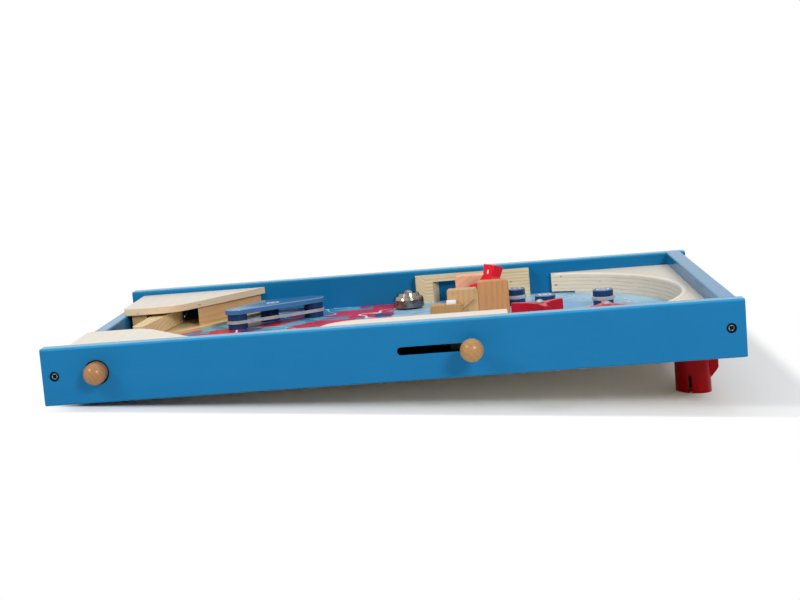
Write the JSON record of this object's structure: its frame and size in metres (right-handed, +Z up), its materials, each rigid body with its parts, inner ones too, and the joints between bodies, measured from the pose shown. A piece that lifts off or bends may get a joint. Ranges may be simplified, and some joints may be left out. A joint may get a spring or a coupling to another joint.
{
  "type": "bagatelle board game",
  "caption": "Table-top wooden bagatelle tray tilted on two feet, with push-button flippers, a spring ball launcher, bumpers, spinning targets, a bell and an arch.",
  "frame": {"origin": "middle of the bounding box's bottom, on the surface that the board stands on", "axes": "+X along the board from the player's low end to the high end, +Y across it from the launcher's side to the other, +Z up"},
  "size_m": [0.6018, 0.43, 0.0978],
  "materials": {
    "blue_lacquer": "satin blue lacquer over solid wood",
    "printed_ply": "printed and clear lacquered plywood",
    "plywood": "pale lacquered plywood",
    "beech": "natural beech, fine sanded",
    "salmon_beech": "steamed beech, fine sanded",
    "pine": "natural pine",
    "dark_wood": "dark stained wood",
    "blue_enamel": "gloss dark blue enamel on wood",
    "red_enamel": "gloss red enamel on wood",
    "red_plastic": "moulded red plastic",
    "white_rubber": "translucent white rubber",
    "nickel": "polished nickel",
    "steel": "zinc plated",
    "spring_steel": "drawn spring wire"
  },
  "bodies": {
    "frame": {"near_rail": "blue_lacquer", "far_rail": "blue_lacquer", "high_end_rail": "blue_lacquer", "low_end_rail": "blue_lacquer", "frame_screws": "steel", "playfield": "printed_ply", "foot_batten": "pine", "foot_near": "red_plastic", "foot_far": "red_plastic", "foot_screws": "steel", "arch_block": "plywood", "bridge_block": "pine", "lane_cover": "plywood", "lane_wall": "plywood", "plunger_end_block": "beech", "step_low": "beech", "step_mid": "beech", "step_tall": "beech", "step_peg": "beech", "back_block": "salmon_beech", "bell_dome": "nickel", "bell_post": "steel", "bell_screw": "nickel", "triangle_plate": "blue_enamel", "triangle_posts": "blue_enamel", "triangle_band": "white_rubber", "bumper_post_1": "blue_enamel", "bumper_post_2": "blue_enamel", "bumper_post_3": "blue_enamel", "bumper_rings": "white_rubber", "star_post": "beech", "spinner_screws": "steel", "spinner_washers": "steel", "flipper_pins": "steel", "flipper_cover_near": "plywood", "flipper_base_near": "plywood", "flipper_spacer_near": "beech", "flipper_end_block_near": "beech", "button_guide_near": "beech", "button_spring_near": "spring_steel", "flipper_cover_far": "plywood", "flipper_base_far": "plywood", "flipper_spacer_far": "beech", "flipper_end_block_far": "beech", "button_guide_far": "beech", "button_spring_far": "spring_steel", "plunger_spring": "spring_steel"},
    "button_near": {"button_near": "beech", "button_stop_near": "beech"},
    "button_far": {"button_far": "beech", "button_stop_far": "beech"},
    "flipper_near": {"flipper_lever_near": "beech"},
    "flipper_far": {"flipper_lever_far": "beech"},
    "plunger": {"plunger_knob": "beech", "plunger_stem": "beech", "plunger_slider": "dark_wood"},
    "spinner_middle": {"spinner_middle": "red_enamel"},
    "spinner_high": {"spinner_high": "red_enamel"},
    "star_wheel": {"star_wheel": "red_enamel"}
  },
  "joints": [
    {"name": "button_near_push", "type": "slide", "parent": "frame", "child": "button_near", "axis": [0, 1, 0], "range_m": [0, 0.006], "stiffness_N_per_m": 150, "springref_m": -0.008, "deforming": ["button_spring_near"]},
    {"name": "button_far_push", "type": "slide", "parent": "frame", "child": "button_far", "axis": [0, -1, 0], "range_m": [0, 0.006], "stiffness_N_per_m": 150, "springref_m": -0.008, "deforming": ["button_spring_far"]},
    {"name": "flipper_near_turn", "type": "hinge", "parent": "frame", "child": "flipper_near", "pos_m": [-0.24291, -0.121, 0.03184], "axis": [0.0804, 0, -0.9968], "range_deg": [0, 40]},
    {"name": "flipper_far_turn", "type": "hinge", "parent": "frame", "child": "flipper_far", "pos_m": [-0.24291, 0.135, 0.03184], "axis": [-0.0804, 0, 0.9968], "range_deg": [0, 40]},
    {"name": "plunger_pull", "type": "slide", "parent": "frame", "child": "plunger", "axis": [-0.9968, 0, -0.0804], "range_m": [0, 0.0595], "stiffness_N_per_m": 60, "springref_m": -0.03, "deforming": ["plunger_spring"]},
    {"name": "spinner_middle_spin", "type": "hinge", "parent": "frame", "child": "spinner_middle", "pos_m": [0.13458, -0.0093, 0.06077], "axis": [-0.0804, 0, 0.9968], "continuous": true},
    {"name": "spinner_high_spin", "type": "hinge", "parent": "frame", "child": "spinner_high", "pos_m": [0.19449, -0.052, 0.0656], "axis": [-0.0804, 0, 0.9968], "continuous": true},
    {"name": "star_wheel_spin", "type": "hinge", "parent": "frame", "child": "star_wheel", "pos_m": [0.08749, 0.095, 0.07122], "axis": [-0.6342, -0.7286, 0.2589], "continuous": true}
  ],
  "couplings": [
    {"joint": "flipper_near_turn", "follows": "button_near_push", "rad_per_m": 116.3},
    {"joint": "flipper_far_turn", "follows": "button_far_push", "rad_per_m": 116.3}
  ]
}
